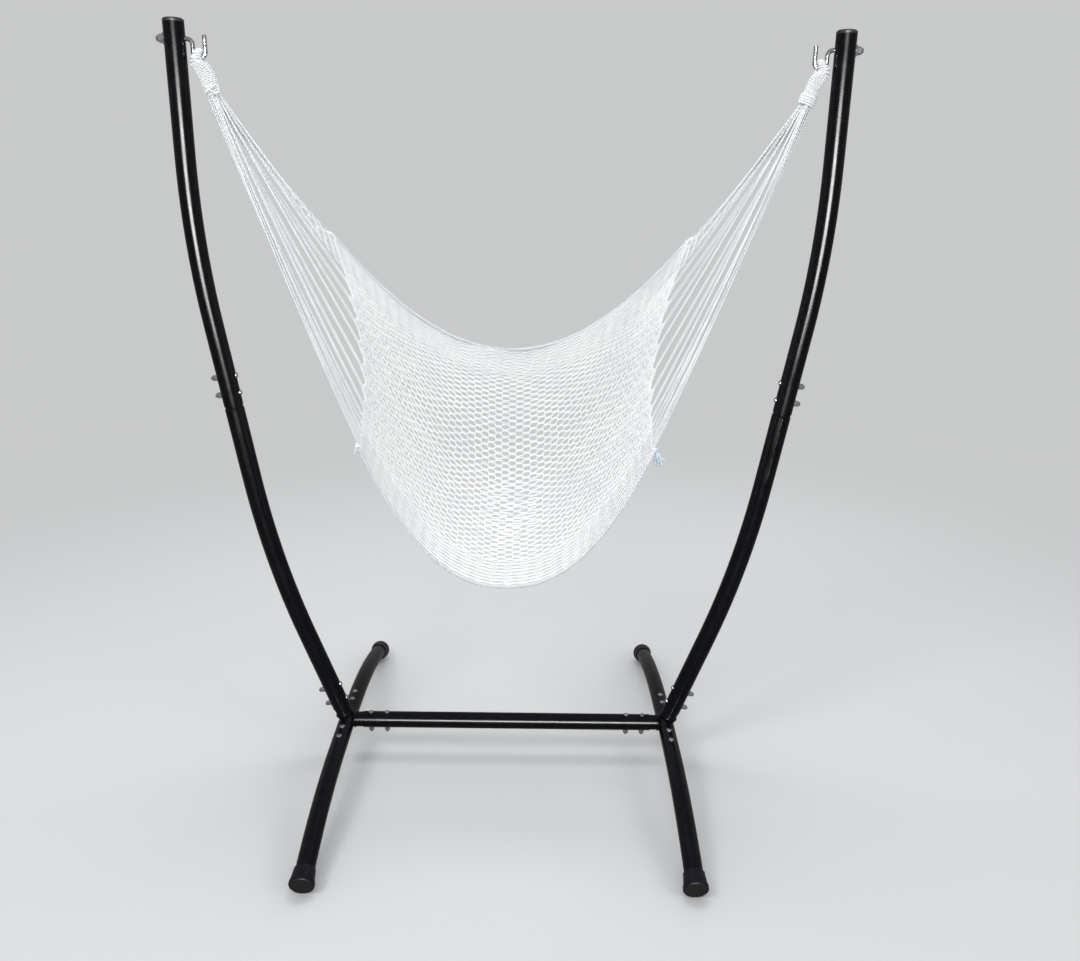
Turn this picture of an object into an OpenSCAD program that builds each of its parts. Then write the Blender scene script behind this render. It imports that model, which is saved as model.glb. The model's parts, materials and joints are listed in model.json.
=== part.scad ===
// Hammock on a U-shaped tube stand.
// Millimetres, +Z up, +X to the right, +Y to the rear. The origin is on the ground, midway
// between the four feet. The left half of the stand is the right half mirrored.

/* [Posts] */
// Outside diameter of the post tube
post_d = 48; // [46:0.5:50]
// Wall of every stand tube
tube_wall = 1.5; // [1.2:0.1:2]
// Distance of a post's straight top from the middle
post_top_x = 770; // [740:5:800]
// Height of the post tube's upper end
post_top_z = 1905; // [1880:5:1950]
// Height where the straight top ends and the upper bend starts
upper_bend_z = 1620; // [1560:5:1660]
// Height where the lower bend starts
lower_bend_z = 820; // [780:5:860]
// Bend radius of both post bends, to the tube's middle
post_bend_r = 2420; // [2200:10:2600]
// Outward lean of the post through its middle joint, in degrees
joint_lean = 9.5; // [8:0.1:10.5]
// Outward lean of the post where it meets the hub, in degrees
hub_lean = 20.5; // [19:0.1:22]
// Height of the joint between the two post pieces
joint_z = 1014; // [990:1:1040]

/* [Base] */
// Outside diameter of the crossbar and leg tubes
base_d = 45; // [44:0.5:46]
// Height of the hub's middle
hub_z = 108; // [100:1:116]
// Half of the base's depth, to the end face of a foot
foot_y = 582; // [550:2:620]
// Height of the middle of a foot's end face
foot_z = 26; // [25.6:0.1:26.4]
// Downward slope of the leg stubs, in degrees
leg_droop = 1.5; // [1:0.1:2]
// Diameter of a rubber foot's end disc
foot_d = 60; // [59.6:0.1:60.4]

/* [Hooks] */
// Height of the hook's shank
hook_z = 1870; // [1860:1:1880]
// Diameter of the hook's rod
hook_rod_d = 10; // [9:0.5:10]
// Radius of the hook's cup, to the rod's middle
hook_cup_r = 14; // [13.5:0.1:15]
// Length of the hook's tip above the middle of its cup
hook_tip = 36; // [32:1:47]

/* [Fasteners] */
// Diameter of the through bolts
bolt_d = 8; // [7:0.5:8]
// Distance between the two bolts of a joint
bolt_pitch = 45; // [42:1:47]
// Width of a dome nut across its flats
nut_flats = 13; // [12:0.5:13.5]

/* [Hammock] */
// Thickness of the net's plain solid
net_t = 5; // [4:0.5:6]
// Diameter of one suspension cord
cord_d = 4; // [3:0.5:4.5]
// Diameter of the cords along the net's front and rear edges
edge_d = 8; // [6:0.5:9]
// Distance of a wrapped knot from the middle
knot_x = 694; // [690:1:698]
// Height of the middle of a wrapped knot
knot_z = 1762; // [1758:1:1766]

/* [Hidden] */

$fn = 48;
// Facets of a full turn for the long gentle bends
BEND_FN = 720;
// A bend is drawn a hair thinner and runs this far into the straight tube at each end
BEND_LAP = 1;
BEND_THIN = 0.06;
// Extra length of a cutting tool past the face that it cuts
CUT = 1;

PAINT = "#101014";
CHROME = "#c9cbd0";
RUBBER = "#1d1b1b";
PLASTIC = "#26262a";
WHITE = "#f2f1ec";

// Fits: radial room between a sleeve and the stub inside it, and between a bolt and its hole
SLEEVE_ROOM = 0.2;
HOLE_ROOM = 0.3;

// Post axis, from the top down: straight, bend, straight through the joint, bend, straight
upper_end = [
    post_top_x - post_bend_r * (1 - cos(joint_lean)),
    upper_bend_z - post_bend_r * sin(joint_lean)
];
lower_start = [
    upper_end[0] - (upper_end[1] - lower_bend_z) * tan(joint_lean),
    lower_bend_z
];
lower_centre = lower_start + post_bend_r * [-cos(joint_lean), sin(joint_lean)];
lower_end = lower_centre + post_bend_r * [cos(hub_lean), -sin(hub_lean)];
hub_x = lower_end[0] - (lower_end[1] - hub_z) * tan(hub_lean);
joint_at = [lower_start[0] + (joint_z - lower_bend_z) * tan(joint_lean), joint_z];
// Lengths along the axis: hub to the lower bend, lower bend to joint, joint to upper bend
hub_run = (lower_end[1] - hub_z) / cos(hub_lean);
below_joint = (joint_z - lower_bend_z) / cos(joint_lean);
above_joint = (upper_end[1] - joint_z) / cos(joint_lean);

// Post joint: gap that shows below the sleeve's rim, swage below it, and its bolts
JOINT_GAP = 5;
SWAGE_TAPER = 4;
SWAGE_LENGTH = 100;
JOINT_BOLT = 30;
swage_d = post_d - 2 * tube_wall - 2 * SLEEVE_ROOM;

// Hub: distances from its middle
stub_d = base_d - 2 * tube_wall - 2 * SLEEVE_ROOM;
STUB_WALL = 2.5;
STUB_LENGTH = 134;
POST_START = 43;
POST_BOLT = 65;
BAR_START = 46;
BAR_BOLT = 67;
LEG_START = 52;
LEG_BOLT = 74;
LEG_STRAIGHT = 140;
WELD_R = 3;

// Leg axis: straight stub, then one bend down to the foot's end face
leg_straight_end = [LEG_STRAIGHT * cos(leg_droop), hub_z - LEG_STRAIGHT * sin(leg_droop)];
leg_run = foot_y - leg_straight_end[0];
leg_drop = leg_straight_end[1] - foot_z;
foot_tilt = 2 * atan(leg_drop / leg_run) - leg_droop;
leg_bend_r = leg_run / (sin(foot_tilt) - sin(leg_droop));
leg_centre = leg_straight_end - leg_bend_r * [sin(leg_droop), cos(leg_droop)];

// Rubber foot
FOOT_WALL = 7;
FOOT_ROOM = 0.7;
FOOT_LENGTH = 42;
FOOT_RIM_R = 4;
FOOT_DISC_T = 10;
FOOT_LIP = 2.2;
FOOT_LIP_L = 8;
foot_tube_end = FOOT_WALL + BEND_LAP + 0.3;

// Post cap
CAP_T = 9;
CAP_CHAMFER = 4;
CAP_PLUG = 18;

// Hook: distances from the post axis towards the middle
HOOK_OUT = 38;
HOOK_SHANK = 28;
HOOK_BEND_R = 12;
// Straight length at the bottom of the cup, which the hammock swings about
CUP_FLAT = 4;
hook_drop_x = HOOK_SHANK + HOOK_BEND_R;
cup_z = hook_z - HOOK_BEND_R - 15;
cup_turn_r = hook_cup_r - CUP_FLAT / 2;
swing_x = post_top_x - hook_drop_x - hook_cup_r;
swing_z = cup_z - cup_turn_r;
HOOK_WASHER_D = 26;
HOOK_WASHER_T = 2;
HOOK_NUT_FLATS = 17;
HOOK_NUT_H = 9;

// Fasteners
HEAD_D = 14;
HEAD_H = 5;
WASHER_D = 17;
WASHER_T = 1.6;
NUT_H = 8.5;
NUT_WALL = 2.2;
BOLT_END = 6;

// Hammock: the net's middle line from rear edge to front edge, in Y and Z
REAR_MID = [181, 1133];
MID_SLOPE = [77.7, 26.7];
MID_R = 757;
// Its side edges, the same way
REAR_CORNER = [101, 1435];
SIDE_SLOPE = [69.7, 49.7];
SIDE_R = 1600;
// Half width: front corner, extra at the rear corner, and how that extra tapers off
FRONT_HALF_W = 352;
REAR_EXTRA_W = 101;
REAR_TAPER = 2;
NET_U = 28;
NET_V = 20;
EDGE_RINGS = 56;
EDGE_SIDES = 8;
LOOP_R = 7.5;
LOOP_ROOM = 0.4;
KNOT_D = 34;
KNOT_H = 22;
KNOT_LEG_R = 6;
// A loop leg widens below the hook: distance down and out, and half the width added at both ends
LEG_DROP = 18;
LEG_OUT = 3;
LEG_SPREAD = 5.5;
LEG_END_SPREAD = 7;
CORD_GAP = 0.5;
// Room between the knot and the first end of a suspension cord
KNOT_GAP = 6;
// Where the suspension cords meet the net's side edge, and how many lie in a layer at the knot
CORD_AT = [
    0.027, 0.047, 0.074, 0.102, 0.135, 0.20, 0.29, 0.39, 0.49, 0.60,
    0.70, 0.78, 0.84, 0.88, 0.915, 0.945, 0.970, 0.990
];
CORD_LAYERS = 3;
loop_turn_r = hook_rod_d / 2 + LOOP_ROOM + LOOP_R;
knot_lean = atan((swing_x - knot_x) / (swing_z - knot_z));

// ---------- helpers ----------

// Places children at a point of the right post's plane, with local +Z up along a lean
module on_post(at, lean) {
    translate([at[0], 0, at[1]])
    rotate([0, lean, 0])
    children();
}

// A round solid bar that turns about local Z at a radius, between two angles
module bend(r, from, to, d) {
    lap = BEND_LAP / r * 180 / PI;
    rotate([0, 0, from - lap])
    rotate_extrude(angle = to - from + 2 * lap, $fn = BEND_FN)
    translate([r, 0])
    circle(d = d - BEND_THIN, $fn = 48);
}

// A bend in the post's plane about a centre, between two leans
module post_bend(centre, from_lean, to_lean, d) {
    translate([centre[0], 0, centre[1]])
    rotate([90, 0, 0])
    bend(post_bend_r, -to_lean, -from_lean, d);
}

// Children, and the same children on the left
module both_sides() {
    children();
    mirror([1, 0, 0]) children();
}

// Places children on the right hub with local +Z along the post, leg or crossbar
module hub_post() {
    on_post([hub_x, hub_z], hub_lean) children();
}

module hub_bar() {
    translate([hub_x, 0, hub_z]) rotate([0, -90, 0]) children();
}

module hub_leg() {
    translate([hub_x, 0, hub_z]) rotate([90 + leg_droop, 0, 0]) children();
}

// Children on the front leg, and the same children on the rear leg
module both_legs() {
    children();
    mirror([0, 1, 0]) children();
}

// Cross holes for the two bolts of a joint, first one at a distance along local +Z
module joint_holes(first, turn) {
    for (i = [0, 1])
        translate([0, 0, first + i * bolt_pitch])
        rotate([0, 0, turn])
        rotate([0, 90, 0])
        cylinder(d = bolt_d + 2 * HOLE_ROOM, h = 2 * post_d, center = true);
}

// ---------- posts ----------

module upper_post_bar(d, extra) {
    translate([post_top_x, 0, upper_bend_z])
    cylinder(d = d, h = post_top_z - upper_bend_z + extra);
    post_bend([post_top_x - post_bend_r, upper_bend_z], 0, joint_lean, d);
    on_post(joint_at, joint_lean)
    translate([0, 0, -extra])
    cylinder(d = d, h = above_joint + extra);
}

module upper_post() {
    color(PAINT)
    difference() {
        upper_post_bar(post_d, 0);
        upper_post_bar(post_d - 2 * tube_wall, CUT);
        on_post(joint_at, joint_lean) joint_holes(JOINT_BOLT, 0);
        translate([post_top_x, 0, hook_z])
        rotate([0, 90, 0])
        cylinder(d = hook_rod_d + 2 * HOLE_ROOM, h = 2 * post_d, center = true);
    }
}

module lower_post_bar(d, extra) {
    on_post(lower_start, joint_lean)
    cylinder(d = d, h = below_joint - JOINT_GAP - SWAGE_TAPER);
    post_bend(lower_centre, joint_lean, hub_lean, d);
    hub_post()
    translate([0, 0, POST_START - extra])
    cylinder(d = d, h = hub_run - POST_START + extra);
}

module lower_post() {
    bore_d = post_d - 2 * tube_wall;
    color(PAINT)
    difference() {
        union() {
            lower_post_bar(post_d, 0);
            on_post(joint_at, joint_lean)
            translate([0, 0, -JOINT_GAP - SWAGE_TAPER])
            cylinder(d1 = post_d, d2 = swage_d, h = SWAGE_TAPER);
            on_post(joint_at, joint_lean)
            translate([0, 0, -JOINT_GAP])
            cylinder(d = swage_d, h = JOINT_GAP + SWAGE_LENGTH);
        }
        lower_post_bar(bore_d, CUT);
        on_post(joint_at, joint_lean)
        translate([0, 0, -JOINT_GAP - SWAGE_TAPER])
        cylinder(d1 = bore_d, d2 = swage_d - 2 * tube_wall, h = SWAGE_TAPER);
        on_post(joint_at, joint_lean)
        translate([0, 0, -JOINT_GAP])
        cylinder(d = swage_d - 2 * tube_wall, h = JOINT_GAP + SWAGE_LENGTH + CUT);
        on_post(joint_at, joint_lean) joint_holes(JOINT_BOLT, 0);
        hub_post() joint_holes(POST_BOLT, 0);
    }
}

// Plug with a chamfered head that covers the tube's rim
module post_cap() {
    plug_d = post_d - 2 * tube_wall - 2 * SLEEVE_ROOM;
    color(PLASTIC)
    translate([post_top_x, 0, post_top_z])
    rotate_extrude()
    polygon([
        [0, -CAP_PLUG],
        [plug_d / 2, -CAP_PLUG],
        [plug_d / 2, 0],
        [post_d / 2, 0],
        [post_d / 2, CAP_T - CAP_CHAMFER],
        [post_d / 2 - CAP_CHAMFER, CAP_T - 1],
        [post_d / 4, CAP_T],
        [0, CAP_T]
    ]);
}

// ---------- base ----------

// Stub with a weld bead where it leaves the hub's round middle
module hub_stub(d, length) {
    cylinder(d = d, h = length);
    translate([0, 0, base_d / 2])
    rotate_extrude()
    translate([d / 2, 0])
    circle(r = WELD_R, $fn = 24);
}

module base_hub() {
    color(PAINT)
    difference() {
        union() {
            both_legs() {
                hub_leg() cylinder(d = base_d, h = LEG_START - 2);
                hub_leg() cylinder(d = stub_d, h = STUB_LENGTH);
            }
            hub_post() hub_stub(swage_d, STUB_LENGTH);
            hub_bar() hub_stub(stub_d, STUB_LENGTH);
        }
        both_legs() hub_leg() cylinder(d = stub_d - 2 * STUB_WALL, h = STUB_LENGTH + CUT);
        hub_post() cylinder(d = swage_d - 2 * STUB_WALL, h = STUB_LENGTH + CUT);
        hub_bar() cylinder(d = stub_d - 2 * STUB_WALL, h = STUB_LENGTH + CUT);
        hub_post() joint_holes(POST_BOLT, 0);
        hub_bar() joint_holes(BAR_BOLT, 0);
        both_legs() hub_leg() joint_holes(LEG_BOLT, 90);
    }
}

module crossbar() {
    length = 2 * (hub_x - BAR_START);
    color(PAINT)
    difference() {
        translate([-length / 2, 0, hub_z])
        rotate([0, 90, 0])
        cylinder(d = base_d, h = length);
        translate([-length / 2 - CUT, 0, hub_z])
        rotate([0, 90, 0])
        cylinder(d = base_d - 2 * tube_wall, h = length + 2 * CUT);
        both_sides() hub_bar() joint_holes(BAR_BOLT, 0);
    }
}

// One leg's bar in the plane of the right hub, running to the rear
module leg_bar(d, extra) {
    end_angle = (foot_tube_end - extra) / leg_bend_r * 180 / PI;
    translate([hub_x, 0, hub_z])
    rotate([-90 - leg_droop, 0, 0])
    translate([0, 0, LEG_START - extra])
    cylinder(d = d, h = LEG_STRAIGHT - LEG_START + extra);
    translate([hub_x, leg_centre[0], leg_centre[1]])
    rotate([90, 0, 90])
    bend(leg_bend_r, 90 - foot_tilt + end_angle, 90 - leg_droop, d);
}

module rear_leg() {
    color(PAINT)
    difference() {
        leg_bar(base_d, 0);
        leg_bar(base_d - 2 * tube_wall, CUT);
        mirror([0, 1, 0]) hub_leg() joint_holes(LEG_BOLT, 90);
    }
}

// Flared cap over the leg's end: end disc with a rounded rim, cone, and a sleeve with a thin lip
module rear_foot() {
    sleeve_r = base_d / 2 + FOOT_ROOM;
    lip_r = sleeve_r + FOOT_LIP;
    rim = [for (a = [0 : 15 : 90])
        [foot_d / 2 - FOOT_RIM_R * (1 - sin(a)), -FOOT_RIM_R * (1 - cos(a))]];
    color(RUBBER)
    difference() {
        translate([hub_x, foot_y, foot_z])
        rotate([-90 - foot_tilt, 0, 0])
        rotate_extrude()
        polygon(concat(
            [[0, 0]],
            rim,
            [
                [foot_d / 2, -FOOT_DISC_T],
                [foot_d / 2 - 1.5, -FOOT_DISC_T - 1.5],
                [lip_r + 0.6, -FOOT_LENGTH + FOOT_LIP_L],
                [lip_r, -FOOT_LENGTH],
                [sleeve_r, -FOOT_LENGTH],
                [sleeve_r, -FOOT_WALL],
                [0, -FOOT_WALL]
            ]
        ));
        translate([hub_x - foot_d, foot_y - foot_d, -foot_d])
        cube([2 * foot_d, 2 * foot_d, foot_d]);
    }
}

// ---------- hooks ----------

// J-hook of round rod: threaded shank through the post, bend down, cup, upright tip
module right_j_hook() {
    color(CHROME)
    translate([post_top_x, 0, 0]) {
        translate([-HOOK_SHANK, 0, hook_z])
        rotate([0, 90, 0])
        cylinder(d = hook_rod_d, h = HOOK_SHANK + HOOK_OUT);
        translate([-HOOK_SHANK, 0, hook_z - HOOK_BEND_R])
        rotate([90, 0, 0])
        rotate([0, 0, 90])
        rotate_extrude(angle = 90, $fn = 96)
        translate([HOOK_BEND_R, 0])
        circle(d = hook_rod_d, $fn = 48);
        translate([-hook_drop_x, 0, cup_z])
        cylinder(d = hook_rod_d, h = hook_z - HOOK_BEND_R - cup_z);
        for (side = [-1, 1])
            translate([-hook_drop_x - hook_cup_r + side * CUP_FLAT / 2, 0, cup_z])
            rotate([90, 0, 0])
            rotate([0, 0, side < 0 ? 180 : 270])
            rotate_extrude(angle = 90, $fn = 96)
            translate([cup_turn_r, 0])
            circle(d = hook_rod_d, $fn = 48);
        translate([-hook_drop_x - hook_cup_r - CUP_FLAT / 2, 0, swing_z])
        rotate([0, 90, 0])
        cylinder(d = hook_rod_d, h = CUP_FLAT);
        translate([-hook_drop_x - 2 * hook_cup_r, 0, cup_z])
        cylinder(d = hook_rod_d, h = hook_tip - 1);
        translate([-hook_drop_x - 2 * hook_cup_r, 0, cup_z + hook_tip - 1])
        cylinder(d1 = hook_rod_d, d2 = hook_rod_d - 2, h = 1);
    }
}

// Places children outside the right post, on the hook's shank, with local +Z outwards
module on_shank(distance) {
    translate([post_top_x + distance, 0, hook_z])
    rotate([0, 90, 0])
    children();
}

module hook_washer() {
    color(CHROME)
    difference() {
        on_shank(0) cylinder(d = HOOK_WASHER_D, h = post_d / 2 + HOOK_WASHER_T);
        translate([post_top_x, 0, hook_z - post_d])
        cylinder(d = post_d + 0.1, h = 2 * post_d);
        on_shank(-CUT) cylinder(d = hook_rod_d + 2 * HOLE_ROOM, h = post_d);
    }
}

// Six-sided nut with a domed end over a blind hole
module dome_nut(flats, height, hole_d, hole_depth) {
    corner_d = flats / cos(30);
    difference() {
        union() {
            intersection() {
                cylinder(d = corner_d, h = height, $fn = 6);
                cylinder(d1 = corner_d + 2 * height - 1, d2 = corner_d - 1, h = height);
            }
            translate([0, 0, height])
            intersection() {
                sphere(d = flats - 1);
                cylinder(d = flats, h = flats);
            }
        }
        translate([0, 0, -CUT]) cylinder(d = hole_d, h = hole_depth + CUT);
    }
}

module hook_nut() {
    reach = HOOK_OUT - post_d / 2 - HOOK_WASHER_T + 0.5;
    color(CHROME)
    on_shank(post_d / 2 + HOOK_WASHER_T)
    dome_nut(HOOK_NUT_FLATS, HOOK_NUT_H, hook_rod_d + 0.2, reach);
}

// ---------- through bolts, along local X from the head side (-X) to the nut side (+X) ----------

// Low domed head and shank
module through_bolt(tube_d) {
    shank = tube_d + WASHER_T + BOLT_END;
    color(CHROME)
    rotate([0, 90, 0]) {
        translate([0, 0, -tube_d / 2])
        cylinder(d = bolt_d, h = shank);
        translate([0, 0, -tube_d / 2 - HEAD_H])
        rotate_extrude()
        polygon(concat(
            [[0, HEAD_H]],
            [for (a = [0 : 15 : 75]) [HEAD_D / 2 * cos(a), HEAD_H - 1 - (HEAD_H - 1) * sin(a)]],
            [[0, 0]]
        ));
        translate([0, 0, -tube_d / 2 - 1])
        cylinder(d = HEAD_D, h = 1);
    }
}

// Washer whose inner side is curved to sit on the tube
module saddle_washer(tube_d) {
    color(CHROME)
    difference() {
        rotate([0, 90, 0]) cylinder(d = WASHER_D, h = tube_d / 2 + WASHER_T);
        translate([0, 0, -WASHER_D]) cylinder(d = tube_d + 0.1, h = 2 * WASHER_D);
        rotate([0, 90, 0])
        translate([0, 0, -CUT])
        cylinder(d = bolt_d + 2 * HOLE_ROOM, h = tube_d);
    }
}

module bolt_nut(tube_d) {
    color(CHROME)
    translate([tube_d / 2 + WASHER_T, 0, 0])
    rotate([0, 90, 0])
    dome_nut(nut_flats, NUT_H, bolt_d + 0.2, BOLT_END + 0.5);
}

// Children at the two bolts of each joint, with local +Z along the tube
module at_post_joints() {
    both_sides()
    on_post(joint_at, joint_lean)
    for (i = [0, 1])
        translate([0, 0, JOINT_BOLT + i * bolt_pitch]) children();
}

module at_hub_posts() {
    both_sides()
    hub_post()
    for (i = [0, 1])
        translate([0, 0, POST_BOLT + i * bolt_pitch]) children();
}

// Nuts below: the crossbar frame's local -X is down
module at_crossbar() {
    both_sides()
    hub_bar()
    for (i = [0, 1])
        translate([0, 0, BAR_BOLT + i * bolt_pitch]) rotate([0, 0, 180]) children();
}

module at_legs() {
    both_sides()
    both_legs()
    hub_leg()
    for (i = [0, 1])
        translate([0, 0, LEG_BOLT + i * bolt_pitch]) rotate([0, 0, -90]) children();
}

// ---------- hammock ----------

// A point of a curve that starts at a point and turns from one downward slope to another
function turn(start, slopes, r, v) =
    let (a = slopes[0] + (slopes[1] - slopes[0]) * v)
    [
        start[0] - r * (sin(slopes[0]) - sin(a)),
        start[1] - r * (cos(a) - cos(slopes[0]))
    ];

function half_width(v) = FRONT_HALF_W + REAR_EXTRA_W * pow(max(0, 1 - v), REAR_TAPER);

// The net's surface: u from -1, left, to 1, right; v from 0, rear edge, to 1, front edge
function net_point(u, v) =
    let (
        mid = turn(REAR_MID, MID_SLOPE, MID_R, v),
        side = turn(REAR_CORNER, SIDE_SLOPE, SIDE_R, v),
        rise = pow(abs(u), 2 + 0.3 * v)
    )
    [
        half_width(v) * u,
        mid[0] + (side[0] - mid[0]) * u * u,
        mid[1] + (side[1] - mid[1]) * rise
    ];

function unit(a) = a / norm(a);

// Step of the slopes taken for a normal
STEP = 0.01;

// The surface's normal, upwards and to the front
function net_normal(u, v) =
    unit(cross(
        net_point(u + STEP, v) - net_point(u - STEP, v),
        net_point(u, v - STEP) - net_point(u, v + STEP)
    ));

module seat_net() {
    grid = [for (j = [0 : NET_V]) for (i = [0 : NET_U]) [2 * i / NET_U - 1, j / NET_V]];
    top = [for (g = grid) net_point(g[0], g[1]) + net_normal(g[0], g[1]) * net_t / 2];
    bottom = [for (g = grid) net_point(g[0], g[1]) - net_normal(g[0], g[1]) * net_t / 2];
    row = NET_U + 1;
    n = len(grid);
    last = NET_V * row;
    color(WHITE)
    polyhedron(
        points = concat(top, bottom),
        faces = concat(
            [for (j = [0 : NET_V - 1]) for (i = [0 : NET_U - 1])
                let (k = j * row + i) each [[k, k + 1, k + row + 1], [k, k + row + 1, k + row]]],
            [for (j = [0 : NET_V - 1]) for (i = [0 : NET_U - 1])
                let (k = n + j * row + i)
                each [[k, k + row + 1, k + 1], [k, k + row, k + row + 1]]],
            [for (i = [0 : NET_U - 1]) each [[i, n + i + 1, i + 1], [i, n + i, n + i + 1]]],
            [for (i = [0 : NET_U - 1])
                let (k = last + i) each [[k, k + 1, n + k + 1], [k, n + k + 1, n + k]]],
            [for (j = [0 : NET_V - 1])
                let (k = j * row) each [[k, k + row, n + k + row], [k, n + k + row, n + k]]],
            [for (j = [0 : NET_V - 1])
                let (k = j * row + NET_U)
                each [[k, n + k + row, k + row], [k, n + k, n + k + row]]]
        ),
        convexity = 8
    );
}

// A closed tube of round rings along a list of points
module swept_cord(path, d, sides) {
    last = len(path) - 1;
    rings = [for (k = [0 : last])
        let (
            along = unit(path[min(k + 1, last)] - path[max(k - 1, 0)]),
            side = unit(cross(along, [0, 1, 0])),
            up = cross(side, along)
        )
        each [for (s = [0 : sides - 1])
            path[k] + d / 2 * (cos(360 * s / sides) * side + sin(360 * s / sides) * up)]];
    polyhedron(
        points = rings,
        faces = concat(
            [[for (s = [0 : sides - 1]) s]],
            [for (k = [0 : last - 1]) for (s = [0 : sides - 1])
                let (a = k * sides + s, b = k * sides + (s + 1) % sides)
                each [[a, a + sides, b + sides], [a, b + sides, b]]],
            [[for (s = [sides - 1 : -1 : 0]) last * sides + s]]
        ),
        convexity = 6
    );
}

// Cord just past the net's edge at v, from corner to corner
module edge_cord(v, outward) {
    gap = edge_d / 2 + 2 * CORD_GAP;
    path = [for (k = [0 : EDGE_RINGS])
        let (
            u = 2 * k / EDGE_RINGS - 1,
            along = unit(net_point(u + STEP, v) - net_point(u - STEP, v)),
            away = net_point(u, v) - net_point(u, v - outward * STEP),
            out = unit(away - along * (away * along))
        )
        net_point(u, v) + out * gap];
    color(WHITE) swept_cord(path, edge_d, EDGE_SIDES);
}

// A round bar between two points
module bar(from, to, d) {
    line = to - from;
    translate(from)
    rotate([0, acos(line[2] / norm(line)), atan2(line[1], line[0])])
    cylinder(d = d, h = norm(line));
}

// Fan of cords from under the right knot to the net's right side edge
module suspension_cords() {
    knot = [knot_x, 0, knot_z];
    down = unit(net_point(1, 0.5) - knot);
    spread = unit(net_point(1, 1) - net_point(1, 0));
    across = unit(spread - down * (spread * down));
    layer = cross(down, across);
    start = knot + [-sin(knot_lean), 0, -cos(knot_lean)] * (KNOT_H / 2 + KNOT_GAP);
    slots = len(CORD_AT) / CORD_LAYERS;
    color(WHITE)
    for (k = [0 : len(CORD_AT) - 1]) {
        slot = floor(k / CORD_LAYERS) - (slots - 1) / 2;
        depth = k % CORD_LAYERS - (CORD_LAYERS - 1) / 2;
        from = start + across * slot * (cord_d + 0.6) + layer * depth * (cord_d + 2);
        edge = net_point(1, CORD_AT[k]);
        to = edge - unit(edge - from) * (net_t / 2 + cord_d / 2 + CORD_GAP);
        bar(from, to, cord_d);
    }
}

// Round ends of a flat bundle, at a point
module bundle_end(at, spread, r) {
    for (w = [-1, 1])
        translate(at + w * spread * [cos(knot_lean), 0, -sin(knot_lean)])
        sphere(r = r, $fn = 24);
}

// Cord bundle over the hook's cup, with a front and a rear leg down to the knot
module end_loop() {
    leg_end = [knot_x, 0, knot_z]
        + [sin(knot_lean), 0, cos(knot_lean)] * (KNOT_H / 2 + KNOT_LEG_R + CORD_GAP);
    color(WHITE) {
        translate([swing_x, 0, swing_z])
        rotate([90, 0, 90])
        rotate_extrude(angle = 180, $fn = 48)
        translate([loop_turn_r, 0])
        circle(r = LOOP_R, $fn = 24);
        for (s = [-1, 1]) {
            wide = [swing_x + LEG_OUT, s * loop_turn_r, swing_z - LEG_DROP];
            hull() {
                translate([swing_x, s * loop_turn_r, swing_z])
                mirror([0, 0, 1])
                cylinder(r = LOOP_R, h = 0.5, $fn = 24);
                bundle_end(wide, LEG_SPREAD, LOOP_R);
            }
            hull() {
                bundle_end(wide, LEG_SPREAD, LOOP_R);
                bundle_end(leg_end + [0, s * (KNOT_LEG_R + 0.1), 0], LEG_END_SPREAD, KNOT_LEG_R);
            }
        }
    }
}

module wrapped_knot() {
    color(WHITE)
    translate([knot_x, 0, knot_z])
    rotate([0, knot_lean, 0])
    cylinder(d = KNOT_D, h = KNOT_H, center = true);
}

// Small round knot off the right end of an edge cord
module corner_knot(v) {
    away = unit(net_point(1, v) - net_point(1 - STEP, v));
    color(WHITE)
    translate(net_point(1, v) + away * (edge_d + 3) + [6, 0, -4])
    sphere(d = 12, $fn = 24);
}

// ---------- nodes ----------

mirror([1, 0, 0]) upper_post();  // left_upper_post
upper_post();  // right_upper_post
mirror([1, 0, 0]) lower_post();  // left_lower_post
lower_post();  // right_lower_post
mirror([1, 0, 0]) base_hub();  // left_base_hub
base_hub();  // right_base_hub
crossbar();
rotate([0, 0, 180]) rear_leg();  // front_left_leg
mirror([0, 1, 0]) rear_leg();  // front_right_leg
mirror([1, 0, 0]) rear_leg();  // rear_left_leg
rear_leg();  // rear_right_leg
rotate([0, 0, 180]) rear_foot();  // front_left_foot
mirror([0, 1, 0]) rear_foot();  // front_right_foot
mirror([1, 0, 0]) rear_foot();  // rear_left_foot
rear_foot();  // rear_right_foot
mirror([1, 0, 0]) post_cap();  // left_post_cap
post_cap();  // right_post_cap
mirror([1, 0, 0]) right_j_hook();  // left_hook
right_j_hook();  // right_hook
both_sides() hook_washer();  // hook_washers
both_sides() hook_nut();  // hook_dome_nuts
at_post_joints() through_bolt(post_d);  // post_joint_bolts
at_post_joints() saddle_washer(post_d);  // post_joint_washers
at_post_joints() bolt_nut(post_d);  // post_joint_dome_nuts
at_hub_posts() through_bolt(post_d);  // hub_post_bolts
at_hub_posts() saddle_washer(post_d);  // hub_post_washers
at_hub_posts() bolt_nut(post_d);  // hub_post_dome_nuts
at_crossbar() through_bolt(base_d);  // crossbar_bolts
at_crossbar() saddle_washer(base_d);  // crossbar_washers
at_crossbar() bolt_nut(base_d);  // crossbar_dome_nuts
at_legs() through_bolt(base_d);  // leg_bolts
at_legs() saddle_washer(base_d);  // leg_washers
at_legs() bolt_nut(base_d);  // leg_dome_nuts
seat_net();
edge_cord(0, -1);  // rear_edge_cord
edge_cord(1, 1);  // front_edge_cord
mirror([1, 0, 0]) suspension_cords();  // left_suspension_cords
suspension_cords();  // right_suspension_cords
mirror([1, 0, 0]) end_loop();  // left_end_loop
end_loop();  // right_end_loop
mirror([1, 0, 0]) wrapped_knot();  // left_wrapped_knot
wrapped_knot();  // right_wrapped_knot
both_sides() corner_knot(0);  // rear_corner_knots
both_sides() corner_knot(1);  // front_corner_knots
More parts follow.
